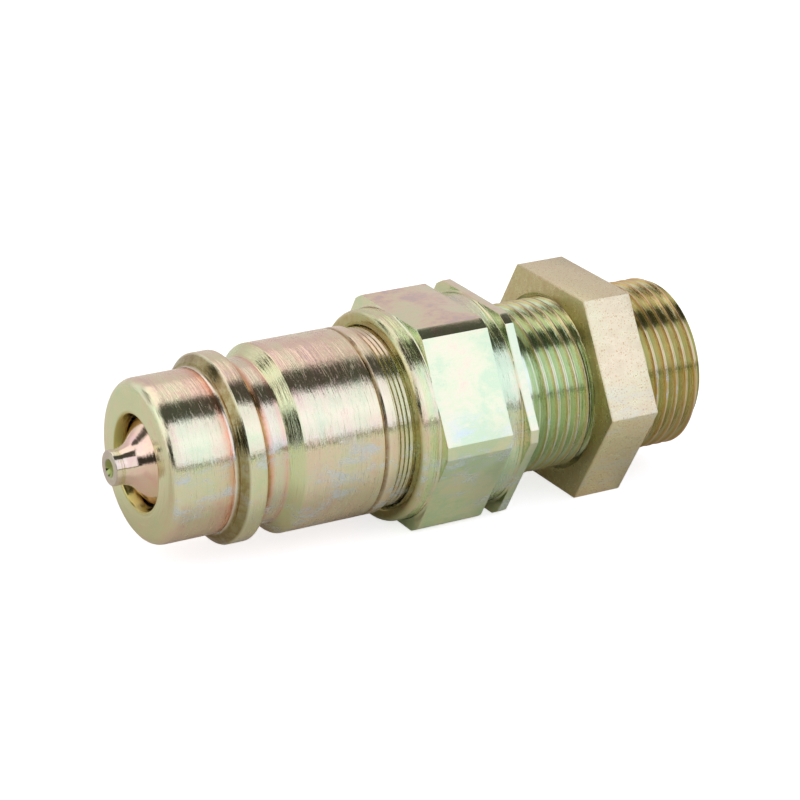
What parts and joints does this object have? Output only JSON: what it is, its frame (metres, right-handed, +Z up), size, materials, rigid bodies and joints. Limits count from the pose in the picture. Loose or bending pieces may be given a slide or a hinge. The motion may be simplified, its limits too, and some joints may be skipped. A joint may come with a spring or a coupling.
{
  "type": "hydraulic quick coupler",
  "caption": "Male plug of a hydraulic quick coupler with a sprung poppet valve, ball groove, hexagon bulkhead adapter, long thread with lock nut and a cone port for a tube.",
  "frame": {"origin": "on the coupler's axis, midway along its whole length at rest", "axes": "+X along the coupler's axis from the plug's nose to the tube end, +Z up, square to the flats that the part lies on"},
  "size_m": [0.0788, 0.031, 0.027],
  "materials": {
    "plug_zinc": "turned steel, yellow iridescent zinc",
    "poppet_zinc": "turned steel, yellow iridescent zinc",
    "adapter_zinc": "drawn and turned hexagon steel, yellow iridescent zinc",
    "nut_zinc": "satin steel, yellow zinc",
    "spring_steel": "drawn spring wire",
    "guide_steel": "turned steel, zinc",
    "ring_steel": "phosphated spring steel",
    "seal_rubber": "nitrile rubber"
  },
  "bodies": {
    "coupler": {"plug_body": "plug_zinc", "poppet_spring": "spring_steel", "stem_guide": "guide_steel", "guide_snap_ring": "ring_steel", "body_seal": "seal_rubber", "bulkhead_body": "adapter_zinc"},
    "valve": {"poppet": "poppet_zinc", "poppet_seal": "seal_rubber"},
    "nut": {"lock_nut": "nut_zinc"}
  },
  "joints": [
    {"name": "poppet_slide", "type": "slide", "parent": "coupler", "child": "valve", "axis": [1, 0, 0], "range_m": [0, 0.0055], "stiffness_N_per_m": 8600, "springref_m": -0.0028, "deforming": ["poppet_spring"]},
    {"name": "nut_travel", "type": "slide", "parent": "coupler", "child": "nut", "axis": [1, 0, 0], "range_m": [-0.0105, 0.009]}
  ]
}
